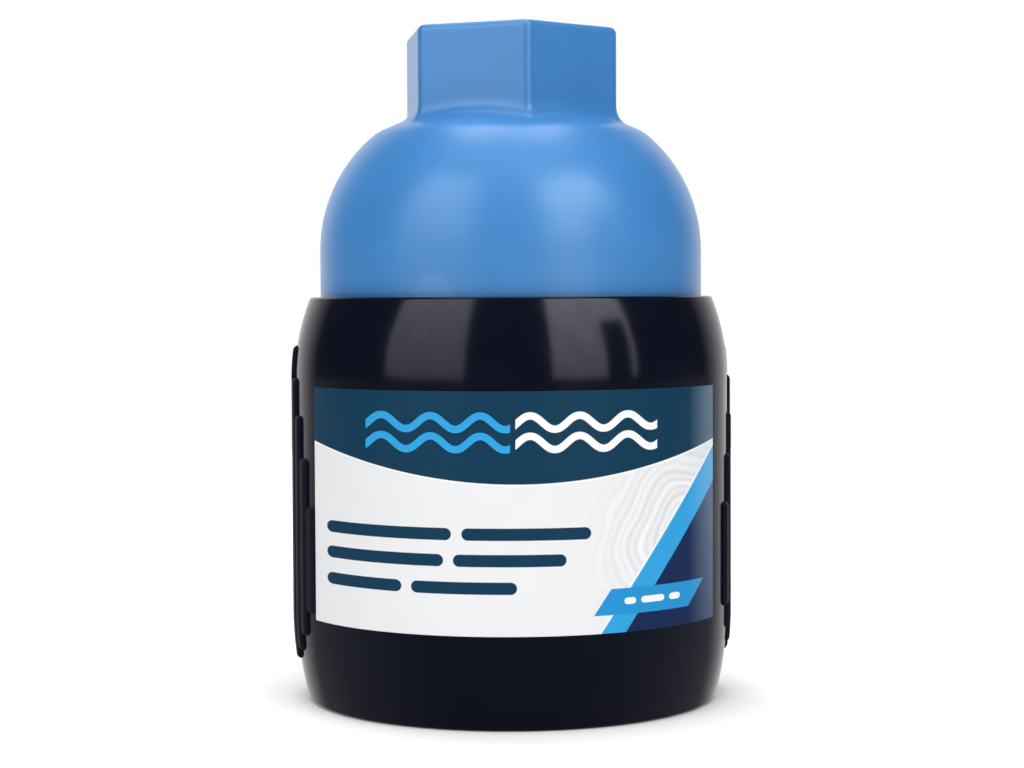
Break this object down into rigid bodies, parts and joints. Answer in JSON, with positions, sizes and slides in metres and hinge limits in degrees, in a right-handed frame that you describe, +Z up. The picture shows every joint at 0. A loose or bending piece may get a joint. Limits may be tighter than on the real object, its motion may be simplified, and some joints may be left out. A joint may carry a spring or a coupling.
{
  "type": "inline water filter",
  "caption": "Inline garden-hose water filter: a hexagon-topped screw head on a barrel-shaped bowl with ribbed grips, around a pleated cartridge.",
  "frame": {"origin": "on the bowl's axis, in the plane of the foot's rim that the filter stands on", "axes": "+Z up along the flow axis towards the inlet; -Y is the front, with the label; the grips are on the -X and +X sides"},
  "size_m": [0.0786, 0.0773, 0.1184],
  "materials": {
    "bowl_plastic": "gloss",
    "head_plastic": "satin",
    "seal_rubber": "satin",
    "label_film": "satin",
    "strainer_steel": "satin",
    "cartridge_plastic": "satin",
    "potting_resin": "satin",
    "filter_sheet": "matte"
  },
  "bodies": {
    "bowl": {"bowl": "bowl_plastic", "label": "label_film"},
    "seal": {"housing_seal": "seal_rubber"},
    "head": {"head": "head_plastic", "inlet_washer": "seal_rubber", "strainer_rim": "strainer_steel", "strainer_mesh": "strainer_steel"},
    "cartridge": {"cartridge_bottom_cap": "cartridge_plastic", "cartridge_top_cap": "cartridge_plastic", "potting_bottom": "potting_resin", "potting_top": "potting_resin", "cartridge_core": "cartridge_plastic", "outer_cage": "cartridge_plastic", "pleated_media": "filter_sheet", "spigot_o_ring_lower": "seal_rubber", "spigot_o_ring_upper": "seal_rubber"}
  },
  "joints": [
    {"name": "seal_lift", "type": "slide", "parent": "bowl", "child": "seal", "axis": [0, 0, 1], "range_m": [0, 0.072]},
    {"name": "head_unscrew", "type": "hinge", "parent": "seal", "child": "head", "pos_m": [0, 0, 0.06], "axis": [0, 0, 1], "range_deg": [0, 2160]},
    {"name": "cartridge_lift", "type": "slide", "parent": "bowl", "child": "cartridge", "axis": [0, 0, 1], "range_m": [0, 0.024]}
  ],
  "couplings": [
    {"joint": "seal_lift", "follows": "head_unscrew", "m_per_rad": 0.0019099},
    {"joint": "cartridge_lift", "follows": "head_unscrew", "m_per_rad": 0.00063661}
  ]
}
